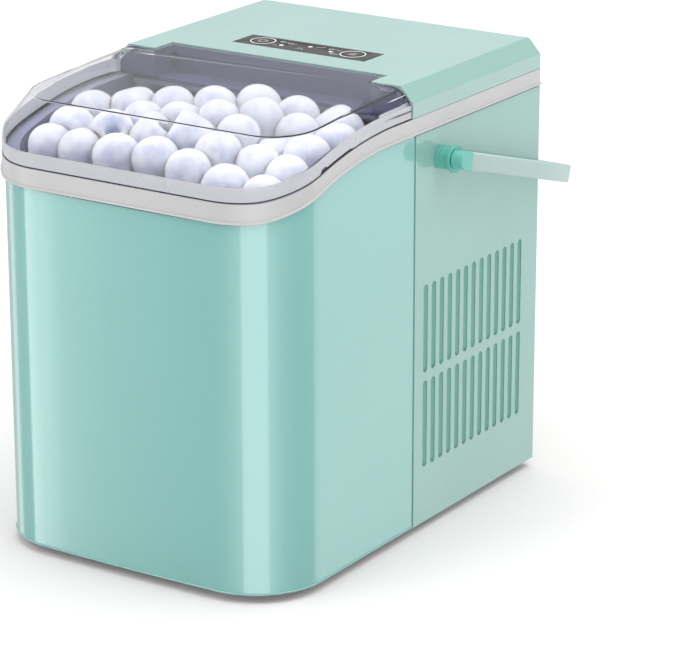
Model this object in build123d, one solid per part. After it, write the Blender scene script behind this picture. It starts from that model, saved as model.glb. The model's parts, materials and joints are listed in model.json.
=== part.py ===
from build123d import *
import math
import os

# Countertop bullet-ice maker, in millimetres. +Z is up and the front faces -Y.
# The machine is drawn with its front face at y = 0 and the table at z = TABLE_Z. write_parts() then
# moves everything so that the origin is on the table, under the middle of the whole machine.

# ---- housing ----
BODY_W = 222.0
BODY_D = 304.0
FRONT_R = 47.0
WALL = 2.5
TABLE_Z = 3.5
SHELL_Z = 9.0
FOOT_R = 7.5
FOOT_FRONT = (60.0, 20.0)
FOOT_REAR = (88.0, 284.0)
PAN_Z = 9.5
PAN_T = 3.0
PAN_TOP = PAN_Z + PAN_T
SEAM_Y = 152.5
SEAM_GAP = 0.4
HALF_W = BODY_W / 2
INNER_X = HALF_W - WALL

# ---- light band and the S-shaped edges on the sides ----
TRIM_PROUD = 1.5
TRIM_INSET = 11.0
TRIM_TOP_FRONT = 252.5
TRIM_TOP_BACK = 275.5
TRIM_LOW_FRONT = 239.3
TRIM_LOW_BACK = 264.1
CURVE_START = 7.6
TOP_CREST_Y = 89.7
LOW_CREST_Y = 82.8
TOP_RADII = (55.0, 290.0)
LOW_RADII = (47.0, 230.0)
FAR = 400.0

# ---- deck behind the lid ----
DECK_TOP = 295.0
DECK_SKIN = 2.5
WING_Y = 149.0
RECESS_Y = 168.0
RECESS_X = 81.0
CHAMFER_IN = 9.0
CHAMFER_DROP = 10.0
LEDGE_Z = 273.0

# ---- lid ----
LID_GAP = 0.6
LID_SKIN = 2.2
LID_WING_BACK = 147.0
LID_TAB_BACK = 165.6
LID_TOP = DECK_TOP - 0.2
LID_TAB_X = 80.0
LID_BASE_Z = 250.0
LID_BASE_X = 150.0
LID_BASE_FRONT = -15.0
LID_BASE_R = 95.0
CREASE_Z = 285.0
CREASE_SLOPE = 0.066
CREASE_X = 102.0
CREASE_FRONT = 30.0
CREASE_R = 42.0
WING_CORNER_R = 12.0
HINGE_Y = 158.5
HINGE_Z = 289.5
HINGE_PIN_R = 1.8
RUNNING_GAP = 0.05

# ---- controls ----
STRIP_W = 100.0
STRIP_D = 24.0
STRIP_Y = 201.4
STRIP_T = 1.5
BUTTON_X = 34.0
BUTTON_R = 6.8
RING_R = 8.4
RING_HOLE_R = 7.2
BUTTON_TRAVEL = 1.2
LIGHT_SPOTS = ((-18.0, -3.0), (0.0, 3.0), (18.0, -1.0))
LIGHT_R = 1.5

# ---- tub, basket and ice mechanism ----
TUB_BACK = 151.0
TUB_FLOOR = 60.0
TUB_R = FRONT_R - TRIM_INSET
CHAMBER_X = 84.0
CHAMBER_BACK = 221.0
CHAMBER_Z = 195.0
CHAMBER_H = 77.0
BASKET_X = 88.0
BASKET_FRONT = 20.0
BASKET_BACK = 143.0
BASKET_R = 28.0
BASKET_Z = 150.0
BASKET_H = 98.0
TRAY_Y = 182.0
TRAY_Z = 236.0
TRAY_R = 30.0
TRAY_WALL = 2.5
TRAY_HALF = 74.0
SHAFT_R = 3.0

# ---- carrying bail ----
PIVOT_Y = 181.3
PIVOT_Z = 245.0
BAIL_ANGLE = 16.5
BAIL_IN = 123.0
BAIL_OUT = 131.5
BAIL_NOSE = 8.5
BAIL_END = 138.5
BAIL_BAR = 7.5
BAIL_H = 11.5
BAIL_CORNER_R = 7.0
BAIL_EDGE_R = 1.2
KNUCKLE_END = 4.8
BOSS_R = 7.4
BOSS_L = 9.5
FLANGE_R = 8.8
FLANGE_T = 2.0
PIN_R = 4.0

# ---- vents ----
SLOT_COUNT = 13
SLOT_PITCH = 9.65
SLOT_FIRST_Y = 165.6
SLOT_W = 4.9
SLOT_ROWS = ((46.4, 103.7), (109.2, 166.5))

# ---- cooling machinery ----
COMP_X = -54.0
COMP_Y = 228.0
COMP_R = 47.0
COMP_Z = 18.5
COMP_H = 122.0
FAN_Y = 223.0
FAN_Z = 107.0
FAN_X = 58.0
FAN_FRAME_D = 25.0
FAN_SIDE = 92.0
FAN_BORE_R = 43.5
FAN_BLADE_R = 41.5
BLADE_COUNT = 7
CONDENSER_X = 84.0
CONDENSER_T = 20.0
FIN_COUNT = 26
TUBE_R = 3.0
HOSE_R = 4.0

# ---- rear panel fittings ----
REAR_FITTING_Z = 32.0
DRAIN_X = 60.0
DRAIN_BORE_R = 5.0
GLAND_X = -70.0
GLAND_BORE_R = 3.6


def prism(face, low, high):
    """Solid of a flat outline between two heights."""
    return Pos(0, 0, low) * extrude(face, high - low)


def block(x0, x1, y0, y1, z0, z1):
    """Box between two corners."""
    centre = Pos((x0 + x1) / 2, (y0 + y1) / 2, (z0 + z1) / 2)
    return centre * Box(x1 - x0, y1 - y0, z1 - z0)


def rod_x(x0, x1, y, z, radius):
    """Cylinder along X."""
    return Pos((x0 + x1) / 2, y, z) * Rot(0, 90, 0) * Cylinder(radius, x1 - x0)


def rod_y(y0, y1, x, z, radius):
    """Cylinder along Y."""
    return Pos(x, (y0 + y1) / 2, z) * Rot(90, 0, 0) * Cylinder(radius, y1 - y0)


def rod_z(z0, z1, x, y, radius):
    """Cylinder along Z."""
    return Pos(x, y, (z0 + z1) / 2) * Cylinder(radius, z1 - z0)


def both_sides(make):
    """The same piece on the right (+1) and on the left (-1)."""
    return make(1) + make(-1)


def rounded_front(half, front, back, radius):
    """Flat outline with two round front corners and a square back."""
    face = Pos(0, (front + back) / 2) * Rectangle(2 * half, back - front)
    return fillet(face.vertices().group_by(Axis.Y)[0], radius)


def body_plan(inset, back=None):
    """Housing outline seen from above, moved inwards by `inset`."""
    rear = BODY_D - inset if back is None else back
    return rounded_front(HALF_W - inset, inset, rear, FRONT_R - inset)


def under_curve(front_z, back_z, crest_y, radii, lift=0.0):
    """Everything below one S-shaped edge of the sides."""
    curve = FilletPolyline(
        (-FAR, front_z + lift),
        (CURVE_START, front_z + lift),
        (crest_y, back_z + lift),
        (FAR, back_z + lift),
        radius=radii,
    )
    floor = Polyline((FAR, back_z + lift), (FAR, -FAR), (-FAR, -FAR), (-FAR, front_z + lift))
    return extrude(Plane.YZ * make_face(curve + floor), amount=FAR, both=True)


def under_trim_top(lift=0.0):
    return under_curve(TRIM_TOP_FRONT, TRIM_TOP_BACK, TOP_CREST_Y, TOP_RADII, lift)


def under_trim_low():
    return under_curve(TRIM_LOW_FRONT, TRIM_LOW_BACK, LOW_CREST_Y, LOW_RADII)


# ---------------------------------------------------------------- housing


def base_pan():
    pan = prism(body_plan(WALL + 0.3), PAN_Z, PAN_TOP)
    for x, y in base_screw_places():
        pan -= rod_z(PAN_Z - 1, PAN_TOP + 1, x, y, 1.7)
    return pan


def foot_places():
    return [(side * x, y) for x, y in (FOOT_FRONT, FOOT_REAR) for side in (-1, 1)]


def feet():
    solids = [rod_z(TABLE_Z, PAN_Z, x, y, FOOT_R) for x, y in foot_places()]
    return Compound([chamfer(s.edges().group_by(Axis.Z)[0], 1.0) for s in solids])


def base_screw_places():
    return ((-98, 80), (98, 80), (-98, 160), (98, 160))


def base_screws():
    screws = []
    for x, y in base_screw_places():
        head = rod_z(PAN_Z - 2, PAN_Z, x, y, 3.2)
        screws.append(head + rod_z(PAN_Z, PAN_TOP + 6, x, y, 1.5))
    return Compound(screws)


def front_shell():
    """Glossy wrap round the front, from seam to seam."""
    ring = body_plan(0, SEAM_Y - SEAM_GAP / 2) - body_plan(WALL, SEAM_Y + 1)
    return prism(ring, SHELL_Z, DECK_TOP) & under_trim_low()


def vent_slot(side, y, low, high):
    """One upright slot with round ends through a side panel."""
    face = Plane.YZ * Pos(y, (low + high) / 2) * SlotOverall(high - low, SLOT_W, rotation=90)
    return Pos(side * HALF_W, 0, 0) * extrude(face, amount=2 * WALL, both=True)


def side_panel(side):
    x0, x1 = sorted((side * INNER_X, side * HALF_W))
    panel = block(x0, x1, SEAM_Y + SEAM_GAP / 2, BODY_D, SHELL_Z, TRIM_LOW_BACK)
    for low, high in SLOT_ROWS:
        for i in range(SLOT_COUNT):
            panel -= vent_slot(side, SLOT_FIRST_Y + i * SLOT_PITCH, low, high)
    return panel - rod_x(x0 - 1, x1 + 1, PIVOT_Y, PIVOT_Z, PIN_R + 1)


def rear_screw_places():
    rows = (22.0, 140.0, 254.0)
    return [(side * 100.0, z) for z in rows for side in (-1, 1)]


def rear_panel():
    panel = block(-INNER_X, INNER_X, BODY_D - WALL, BODY_D, SHELL_Z, TRIM_LOW_BACK)
    for i in range(11):
        face = Plane.XZ * Pos(0, 62 + i * 10) * SlotOverall(120, 4.5)
        panel -= Pos(0, BODY_D, 0) * extrude(face, amount=2 * WALL, both=True)
    for x, z in rear_screw_places():
        panel -= rod_y(BODY_D - 5, BODY_D + 5, x, z, 1.7)
    panel -= rod_y(BODY_D - 5, BODY_D + 5, DRAIN_X, REAR_FITTING_Z, 8.0)
    return panel - rod_y(BODY_D - 5, BODY_D + 5, GLAND_X, REAR_FITTING_Z, 6.5)


def rear_screws():
    screws = []
    for x, z in rear_screw_places():
        shank = rod_y(BODY_D - 9, BODY_D, x, z, 1.5)
        screws.append(shank + rod_y(BODY_D, BODY_D + 1.8, x, z, 3.2))
    return Compound(screws)


def trim_band():
    """Light band that follows the S-shaped edge all round the top of the shell."""
    ring = body_plan(-TRIM_PROUD) - body_plan(TRIM_INSET)
    band = prism(ring, 200, DECK_TOP) & under_trim_top()
    return band - under_trim_low()


def deck_outline(gap):
    """Plan of the deck; its front edge steps back in the middle for the lid's tab."""
    outer = HALF_W - gap
    front = Polyline(
        (-outer, WING_Y), (-RECESS_X, WING_Y), (-RECESS_X, RECESS_Y),
        (RECESS_X, RECESS_Y), (RECESS_X, WING_Y), (outer, WING_Y),
    )
    back = Polyline((outer, WING_Y), (outer, BODY_D - gap), (-outer, BODY_D - gap), (-outer, WING_Y))
    return make_face(front + back)


def deck_section(gap):
    """Rear view of the deck: upright sides with a broad chamfer along the top."""
    half = HALF_W - gap
    top = DECK_TOP - gap
    return make_face(Polyline(
        (-half, TRIM_TOP_BACK - 1), (half, TRIM_TOP_BACK - 1), (half, top - CHAMFER_DROP),
        (half - CHAMFER_IN, top), (-half + CHAMFER_IN, top), (-half, top - CHAMFER_DROP),
        close=True,
    ))


def deck_bar(gap):
    """Endless bar along Y with the deck's chamfered section."""
    return extrude(Plane.XZ * deck_section(gap), amount=FAR, both=True)


def deck_block(gap):
    return prism(deck_outline(gap), TRIM_TOP_BACK, DECK_TOP) & deck_bar(gap)


def deck_cover():
    cover = deck_block(0)
    rear_edge = cover.edges().filter_by(Axis.X).group_by(Axis.Y)[-1].group_by(Axis.Z)[-1]
    cover = fillet(rear_edge, 2.0) - deck_block(DECK_SKIN)
    strip = Pos(0, STRIP_Y) * Rectangle(STRIP_W, STRIP_D)
    cover -= prism(strip, DECK_TOP - STRIP_T, DECK_TOP + 1)
    for side in (-1, 1):
        cover -= rod_z(DECK_TOP - 5, DECK_TOP + 1, side * BUTTON_X, STRIP_Y, RING_HOLE_R)
    for x, y in board_post_places():
        cover += rod_z(284.6, DECK_TOP - DECK_SKIN, x, y, 2.5)
    return cover


def inner_frame():
    """Dark wall and ledge under the front edge of the deck, with the lid's hinge bearings."""
    band = offset_front(0) - offset_front(WALL)
    wall = prism(band, TRIM_TOP_BACK, DECK_TOP - DECK_SKIN) & deck_bar(DECK_SKIN)
    inner = HALF_W - TRIM_INSET
    ledge = block(-inner, inner, TUB_BACK, RECESS_Y + WALL, LEDGE_Z, TRIM_TOP_BACK)
    bore = rod_x(-RECESS_X - 4, RECESS_X + 4, HINGE_Y, HINGE_Z, HINGE_PIN_R + RUNNING_GAP)
    return wall + ledge - bore


def offset_front(gap):
    """Region behind the deck's stepped front edge, moved back by `gap`."""
    side = INNER_X - 0.3
    step = RECESS_X + gap
    back = RECESS_Y + 3 * WALL
    return make_face(Polyline(
        (-side, WING_Y + gap), (-step, WING_Y + gap), (-step, RECESS_Y + gap), (step, RECESS_Y + gap),
        (step, WING_Y + gap), (side, WING_Y + gap), (side, back), (-side, back), close=True,
    )) & Pos(0, WING_Y + (RECESS_Y - WING_Y + WALL) / 2) * Rectangle(2 * side, RECESS_Y - WING_Y + WALL)


# ---------------------------------------------------------------- lid


def lid_block(skin, back):
    """Sloping faces of the lid, moved inwards by `skin`, without its upright rim."""
    base = Pos(0, 0, LID_BASE_Z) * rounded_front(
        LID_BASE_X - 1.4 * skin, LID_BASE_FRONT + 1.4 * skin, back, LID_BASE_R - 1.4 * skin)
    tilt = Plane(origin=(0, 0, CREASE_Z - skin), x_dir=(1, 0, 0), z_dir=(0, -CREASE_SLOPE, 1))
    crease = tilt * rounded_front(
        CREASE_X - 0.3 * skin, CREASE_FRONT + 0.3 * skin, back, CREASE_R - 0.3 * skin)
    return loft([base, crease], ruled=True)


def lid():
    """Clear cover: an upright rim on the light band, sloping sides and a nearly level top."""
    back = LID_TAB_BACK + 20
    rim = prism(body_plan(0, LID_TAB_BACK), 200, LID_TOP) - under_trim_top(LID_GAP)
    rim_inside = prism(body_plan(LID_SKIN, back), 200, LID_TOP - LID_SKIN)
    cover = (rim & lid_block(0, back)) - (rim_inside & lid_block(LID_SKIN, back))
    for side in (-1, 1):
        x0, x1 = sorted((side * LID_TAB_X, side * 120))
        cover -= block(x0, x1, LID_WING_BACK, 200, 200, 310)
        corner_y = LID_WING_BACK - WING_CORNER_R
        corner_z = DECK_TOP - WING_CORNER_R
        corner = block(x0, x1, corner_y, 200, corner_z, 310)
        cover -= corner - rod_x(x0 - 1, x1 + 1, corner_y, corner_z, WING_CORNER_R)
    knuckles = both_sides(lid_knuckle)
    return cover + knuckles


def lid_knuckle(side):
    """Round lug under the tab that carries a hinge pin."""
    x0, x1 = sorted((side * (LID_TAB_X - 8), side * LID_TAB_X))
    lug = rod_x(x0, x1, HINGE_Y, HINGE_Z, 3.2) + block(x0, x1, HINGE_Y - 3.2, HINGE_Y + 3.2, HINGE_Z, 293.5)
    return lug - rod_x(x0 - 1, x1 + 1, HINGE_Y, HINGE_Z, HINGE_PIN_R)


def lid_hinge_pins():
    return Compound([
        rod_x(*sorted((side * (LID_TAB_X - 8), side * (RECESS_X + 2.2))), HINGE_Y, HINGE_Z, HINGE_PIN_R)
        for side in (-1, 1)
    ])


# ---------------------------------------------------------------- controls


def control_strip():
    face = Pos(0, STRIP_Y) * Rectangle(STRIP_W - 0.2, STRIP_D - 0.2)
    strip = prism(face, DECK_TOP - STRIP_T, DECK_TOP)
    for side in (-1, 1):
        strip -= rod_z(DECK_TOP - 5, DECK_TOP + 1, side * BUTTON_X, STRIP_Y, RING_R)
    for x, y in LIGHT_SPOTS:
        strip -= rod_z(DECK_TOP - 5, DECK_TOP + 1, x, STRIP_Y + y, LIGHT_R)
    return strip


def button_rings():
    rings = []
    for side in (-1, 1):
        ring = rod_z(DECK_TOP - STRIP_T, DECK_TOP + 0.3, side * BUTTON_X, STRIP_Y, RING_R)
        rings.append(ring - rod_z(DECK_TOP - 5, DECK_TOP + 1, side * BUTTON_X, STRIP_Y, RING_HOLE_R))
    return Compound(rings)


def button(side):
    cap = rod_z(DECK_TOP - 4, DECK_TOP + 0.2, side * BUTTON_X, STRIP_Y, BUTTON_R)
    cap = chamfer(cap.edges().group_by(Axis.Z)[-1], 0.4)
    return cap + rod_z(287.4, DECK_TOP - 4, side * BUTTON_X, STRIP_Y, 2.5)


def indicator_lights():
    return Compound([
        rod_z(DECK_TOP - STRIP_T, DECK_TOP + 0.1, x, STRIP_Y + y, LIGHT_R) for x, y in LIGHT_SPOTS
    ])


def board_post_places():
    return [(x, STRIP_Y + y) for x in (-46.0, 46.0) for y in (-9.0, 9.0)]


def control_board():
    return block(-50, 50, STRIP_Y - 12, STRIP_Y + 12, 283, 284.6)


def tact_switches():
    return Compound([
        block(side * BUTTON_X - 3, side * BUTTON_X + 3, STRIP_Y - 3, STRIP_Y + 3, 284.6, 285.8)
        for side in (-1, 1)
    ])


# ---------------------------------------------------------------- tub and ice mechanism


def tub_plan(inset):
    return rounded_front(HALF_W - TRIM_INSET - inset, TRIM_INSET + inset, TUB_BACK - inset, TUB_R - inset)


def tub_liner():
    """Dark tub: water reservoir below, basket space above, freezing chamber behind."""
    tub = prism(tub_plan(0), TUB_FLOOR, DECK_TOP) & under_trim_top(-0.4)
    tub -= block(-FAR, FAR, TUB_BACK - WALL - 1, FAR, LEDGE_Z, DECK_TOP)
    chamber = block(-CHAMBER_X, CHAMBER_X, TUB_BACK - WALL, CHAMBER_BACK, CHAMBER_Z, CHAMBER_Z + CHAMBER_H)
    room = block(
        -CHAMBER_X + WALL, CHAMBER_X - WALL, TUB_BACK - 2 * WALL, CHAMBER_BACK - WALL,
        CHAMBER_Z + WALL, CHAMBER_Z + CHAMBER_H - WALL)
    tub = tub + chamber - prism(tub_plan(WALL), TUB_FLOOR + WALL, DECK_TOP) - room
    bearing = rod_x(-CHAMBER_X - 1, CHAMBER_X + 1, TRAY_Y, TRAY_Z, SHAFT_R + RUNNING_GAP)
    return tub - bearing


def foam_insulation():
    """Foam between the shell and the tub."""
    ring = body_plan(WALL + 0.3, TUB_BACK) - rounded_front(
        HALF_W - TRIM_INSET + 0.2, TRIM_INSET - 0.2, TUB_BACK + 5, TUB_R)
    return prism(ring, PAN_TOP, 230)


def ice_basket():
    """Lift-out basket with a slotted floor."""
    plan = rounded_front(BASKET_X, BASKET_FRONT, BASKET_BACK, BASKET_R)
    inside = rounded_front(BASKET_X - 2, BASKET_FRONT + 2, BASKET_BACK - 2, BASKET_R - 2)
    basket = prism(plan, BASKET_Z, BASKET_Z + BASKET_H) - prism(inside, BASKET_Z + 2, BASKET_Z + BASKET_H + 1)
    for x in range(-60, 61, 15):
        slot = Pos(x, (BASKET_FRONT + BASKET_BACK) / 2) * SlotOverall(84, 4, rotation=90)
        basket -= prism(slot, BASKET_Z - 1, BASKET_Z + 3)
    return basket


def basket_rests():
    """Ledges on the tub's side walls that the basket stands on."""
    inner = HALF_W - TRIM_INSET - WALL
    return Compound([
        block(*sorted((side * (BASKET_X - 6), side * inner)), 60, 110, BASKET_Z - 6, BASKET_Z)
        for side in (-1, 1)
    ])


def evaporator_plate():
    return block(-70, 70, TRAY_Y - 13, TRAY_Y + 13, TRAY_Z + 12, TRAY_Z + 18)


def finger_places():
    front = [(-56 + 28 * i, TRAY_Y - 7) for i in range(5)]
    back = [(-42 + 28 * i, TRAY_Y + 7) for i in range(4)]
    return front + back


def evaporator_fingers():
    """Nine cold fingers that the bullet-shaped ice grows on."""
    fingers = []
    for x, y in finger_places():
        finger = rod_z(TRAY_Z - 20, TRAY_Z + 12, x, y, 4)
        fingers.append(fillet(finger.edges().group_by(Axis.Z)[0], 2.5))
    return Compound(fingers)


def evaporator_tube():
    """Refrigerant tube along the top of the plate, held in the chamber's side walls."""
    return rod_x(-CHAMBER_X + WALL, CHAMBER_X - WALL, TRAY_Y, TRAY_Z + 21, TUBE_R)


def half_round(radius):
    """Lower half disc seen along X, about the tray's axis."""
    disc = Pos(TRAY_Y, TRAY_Z) * Circle(radius)
    return Plane.YZ * (disc & Pos(TRAY_Y, TRAY_Z - radius) * Rectangle(2 * radius, 2 * radius))


def water_tray():
    """Half-round trough that tips about its own axis to pour out the spare water."""
    body = extrude(half_round(TRAY_R), amount=TRAY_HALF, both=True)
    hollow = extrude(half_round(TRAY_R - TRAY_WALL), amount=TRAY_HALF - TRAY_WALL, both=True)
    tray = body - hollow
    for side in (-1, 1):
        x0, x1 = sorted((side * (TRAY_HALF - TRAY_WALL), side * TRAY_HALF))
        tray += rod_x(x0, x1, TRAY_Y, TRAY_Z, 7)
    return tray - rod_x(-FAR, FAR, TRAY_Y, TRAY_Z, SHAFT_R)


def tray_shaft():
    """Stub shafts at both ends of the tray, running in the chamber's walls."""
    return Compound([
        rod_x(*sorted((side * (TRAY_HALF - TRAY_WALL), side * (CHAMBER_X + 6))), TRAY_Y, TRAY_Z, SHAFT_R)
        for side in (-1, 1)
    ])


def ice_shovel():
    """Comb on the tray's rear lip that pushes loose ice forward."""
    comb = block(-68, 68, TRAY_Y + 27.8, TRAY_Y + 29.8, TRAY_Z, TRAY_Z + 12)
    for i in range(6):
        comb -= block(-58 + 20 * i, -48 + 20 * i, TRAY_Y, TRAY_Y + 40, TRAY_Z + 4, TRAY_Z + 20)
    return comb


def tray_motor():
    """Small gear motor outside the chamber, with a clear hole for the tray's shaft."""
    motor = block(CHAMBER_X, CHAMBER_X + 18, TRAY_Y - 14, TRAY_Y + 14, TRAY_Z - 20, TRAY_Z + 12)
    return motor - rod_x(CHAMBER_X - 1, CHAMBER_X + 7, TRAY_Y, TRAY_Z, SHAFT_R + RUNNING_GAP)


def ice_sensors():
    inner = HALF_W - TRIM_INSET - WALL
    return Compound([
        rod_x(*sorted((side * inner, side * (inner - 2.5))), 128, 236, 4) for side in (-1, 1)
    ])


def level_sensor():
    """Water-level probe standing on the tub's floor."""
    floor = TUB_FLOOR + WALL
    return rod_z(floor, floor + 4, 70, 120, 9) + rod_z(floor + 4, floor + 50, 70, 120, 4)


# ---------------------------------------------------------------- water circuit


def water_pump():
    body = rod_z(PAN_TOP, PAN_TOP + 32, -40, 95, 18)
    return body + block(-46, -34, 95, 128, PAN_TOP + 10, PAN_TOP + 22)


def hose(points, radii, radius):
    """Round tube along straight runs joined by arcs."""
    path = FilletPolyline(*points, radius=radii)
    start = Plane(origin=path @ 0, z_dir=path % 0)
    return sweep(start * Circle(radius), path=path)


def pump_hose():
    """From the pump, back and up to the floor of the freezing chamber."""
    z = PAN_TOP + 16
    return hose(((-40, 128, z), (-40, 146, z), (-72, 164, z + 10), (-72, 164, CHAMBER_Z)), (14, 12), HOSE_R)


def intake_hose():
    """From the tub's floor down to the pump."""
    return rod_z(PAN_TOP + 32, TUB_FLOOR, -40, 95, HOSE_R)


def drain_hose():
    """From the tub's floor to the drain spout at the back."""
    return hose(
        ((DRAIN_X, 130, TUB_FLOOR), (DRAIN_X, 130, REAR_FITTING_Z), (DRAIN_X, BODY_D - 8, REAR_FITTING_Z)),
        (20,), HOSE_R)


def drain_spout():
    spout = rod_y(BODY_D - 8, BODY_D + 2, DRAIN_X, REAR_FITTING_Z, 8.0)
    spout += rod_y(BODY_D, BODY_D + 2, DRAIN_X, REAR_FITTING_Z, 11.0)
    return spout - rod_y(BODY_D - 6, BODY_D + 3, DRAIN_X, REAR_FITTING_Z, DRAIN_BORE_R)


def drain_plug():
    """Stopper that pulls straight out of the spout."""
    stem = rod_y(BODY_D - 5, BODY_D + 2.4, DRAIN_X, REAR_FITTING_Z, DRAIN_BORE_R - RUNNING_GAP)
    head = rod_y(BODY_D + 2.4, BODY_D + 5, DRAIN_X, REAR_FITTING_Z, 9.0)
    grip = block(DRAIN_X - 1.5, DRAIN_X + 1.5, BODY_D + 5, BODY_D + 10, REAR_FITTING_Z - 6, REAR_FITTING_Z + 6)
    return stem + chamfer(head.edges().group_by(Axis.Y)[-1], 0.8) + grip


def cable_gland():
    """Bushing that the mains lead would pass through."""
    gland = rod_y(BODY_D - 8, BODY_D + 6, GLAND_X, REAR_FITTING_Z, 6.5)
    gland += rod_y(BODY_D, BODY_D + 2.5, GLAND_X, REAR_FITTING_Z, 9.5)
    return gland - rod_y(BODY_D - 9, BODY_D + 7, GLAND_X, REAR_FITTING_Z, GLAND_BORE_R)


# ---------------------------------------------------------------- cooling machinery


def compressor():
    can = rod_z(COMP_Z, COMP_Z + COMP_H, COMP_X, COMP_Y, COMP_R)
    can = fillet(can.edges().group_by(Axis.Z)[-1], 22)
    seam = rod_z(COMP_Z + 58, COMP_Z + 62, COMP_X, COMP_Y, COMP_R + 2)
    return can + seam


def compressor_base():
    plate = Pos(COMP_X, COMP_Y, COMP_Z - 1) * Box(98, 98, 2)
    plate = fillet(plate.edges().filter_by(Axis.Z), 14)
    for x, y in grommet_places():
        plate -= rod_z(COMP_Z - 3, COMP_Z + 1, x, y, 3)
    return plate


def grommet_places():
    return [(COMP_X + x, COMP_Y + y) for x in (-38, 38) for y in (-38, 38)]


def compressor_grommets():
    rubbers = []
    for x, y in grommet_places():
        rubbers.append(rod_z(PAN_TOP, COMP_Z - 2, x, y, 6) + rod_z(COMP_Z - 2, COMP_Z, x, y, 3))
    return Compound(rubbers)


def condenser_core():
    """Finned block behind the right-hand vents."""
    back = CONDENSER_X + CONDENSER_T
    core = block(CONDENSER_X, back, 170, 290, 44, 170)
    pitch = 120.0 / FIN_COUNT
    for i in range(FIN_COUNT):
        y = 170 + pitch * (i + 0.5)
        core -= block(back - 7, back + 1, y - 1.4, y + 1.4, 40, 175)
    return core


def condenser_legs():
    back = CONDENSER_X + CONDENSER_T
    return Compound([block(CONDENSER_X, back, y - 6, y + 6, PAN_TOP, 44) for y in (180, 280)])


def fan_frame():
    """Square duct round the fan, with four arms that hold the motor."""
    low_y, high_y = FAN_Y - FAN_SIDE / 2, FAN_Y + FAN_SIDE / 2
    low_z, high_z = FAN_Z - FAN_SIDE / 2, FAN_Z + FAN_SIDE / 2
    frame = block(FAN_X, FAN_X + FAN_FRAME_D, low_y, high_y, low_z, high_z)
    frame -= rod_x(FAN_X - 1, FAN_X + FAN_FRAME_D + 1, FAN_Y, FAN_Z, FAN_BORE_R)
    arms = block(FAN_X, FAN_X + 3, low_y + 2, high_y - 2, FAN_Z - 3, FAN_Z + 3)
    arms += block(FAN_X, FAN_X + 3, FAN_Y - 3, FAN_Y + 3, low_z + 2, high_z - 2)
    return frame + arms + rod_x(FAN_X, FAN_X + 3, FAN_Y, FAN_Z, 15)


def fan_motor():
    motor = rod_x(FAN_X + 3, FAN_X + 11, FAN_Y, FAN_Z, 13)
    return motor - rod_x(FAN_X + 4, FAN_X + 12, FAN_Y, FAN_Z, 1.5 + RUNNING_GAP)


def fan_shaft():
    return rod_x(FAN_X + 5, FAN_X + 19, FAN_Y, FAN_Z, 1.5)


def fan_blade():
    """Hub cup and seven pitched blades."""
    middle = FAN_X + 16
    hub = rod_x(FAN_X + 12, FAN_X + 20, FAN_Y, FAN_Z, 16)
    hub -= rod_x(FAN_X + 11, FAN_X + 21, FAN_Y, FAN_Z, 1.5)
    blade = Pos(0, 0, 28) * Rot(0, 0, 35) * Box(1.6, 17, 28)
    for i in range(BLADE_COUNT):
        hub += Pos(middle, FAN_Y, FAN_Z) * Rot(360 * i / BLADE_COUNT, 0, 0) * blade
    limit = rod_x(FAN_X + 5, FAN_X + FAN_FRAME_D - 1, FAN_Y, FAN_Z, FAN_BLADE_R)
    return hub & limit


def discharge_line():
    """Hot-gas tube from the compressor to the top of the condenser."""
    top = 178
    x = CONDENSER_X + 5
    return hose(
        ((COMP_X, COMP_Y + 20, COMP_Z + COMP_H), (COMP_X, COMP_Y + 20, top), (x, 280, top), (x, 280, 170)),
        (12, 4), TUBE_R)


def suction_line():
    """Cold return tube from the freezing chamber to the compressor."""
    x = COMP_X - 10
    y = CHAMBER_BACK + 22
    return hose(((x, CHAMBER_BACK, 240), (x, y, 240), (x, y, COMP_Z + COMP_H)), (18,), TUBE_R)


def filter_drier():
    return fillet(rod_z(186, 246, 70, 262, 8).edges(), 3)


def liquid_line():
    """Thin tube from the condenser through the drier to the freezing chamber."""
    low = hose(((92, 262, 170), (92, 262, 178), (70, 262, 178), (70, 262, 186)), (3.5, 3.5), 2)
    high = hose(((70, 262, 246), (70, 262, 258), (70, CHAMBER_BACK, 258)), (8,), 2)
    return Compound([low, high])


def main_board():
    return block(-70, 30, 292, 293.6, 178, 252)


def board_standoffs():
    return Compound([
        rod_y(293.6, BODY_D - WALL, x, z, 3) for x in (-64, 24) for z in (184, 246)
    ])


def board_components():
    """Transformer, relay and capacitors on the main board."""
    return Compound([
        block(-60, -30, 268, 292, 190, 216), block(-16, 0, 276, 292, 188, 204),
        rod_y(270, 292, 14, 200, 7), rod_y(274, 292, 14, 222, 5), block(-62, -40, 280, 292, 228, 240),
    ])


# ---------------------------------------------------------------- carrying bail


def pivot_boss(side):
    """Ringed stub on the side panel, with a flange that the bail's arm turns against."""
    face = HALF_W
    boss = rod_x(face, face + BOSS_L, PIVOT_Y, PIVOT_Z, BOSS_R)
    boss += rod_x(face + BOSS_L, face + BOSS_L + FLANGE_T, PIVOT_Y, PIVOT_Z, FLANGE_R)
    for x in (2.5, 5.5):
        groove = rod_x(face + x, face + x + 0.8, PIVOT_Y, PIVOT_Z, BOSS_R + 1)
        boss -= groove - rod_x(face + x, face + x + 0.8, PIVOT_Y, PIVOT_Z, BOSS_R - 0.7)
    boss -= rod_x(face - 1, face + 12, PIVOT_Y, PIVOT_Z, PIN_R + RUNNING_GAP)
    return boss if side > 0 else mirror(boss, Plane.YZ)


def pivot_pin(side):
    """Headed pin that joins an arm to its boss."""
    pin = rod_x(INNER_X - 1, BAIL_IN, PIVOT_Y, PIVOT_Z, PIN_R)
    pin += rod_x(INNER_X - 3, INNER_X - 1, PIVOT_Y, PIVOT_Z, PIN_R + 2.5)
    return pin if side > 0 else mirror(pin, Plane.YZ)


def fold_down(solid):
    """Puts a piece of the bail, drawn level along +Y from its pivot, in its folded-down place."""
    return Pos(0, PIVOT_Y, PIVOT_Z) * Rot(-BAIL_ANGLE, 0, 0) * solid


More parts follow.
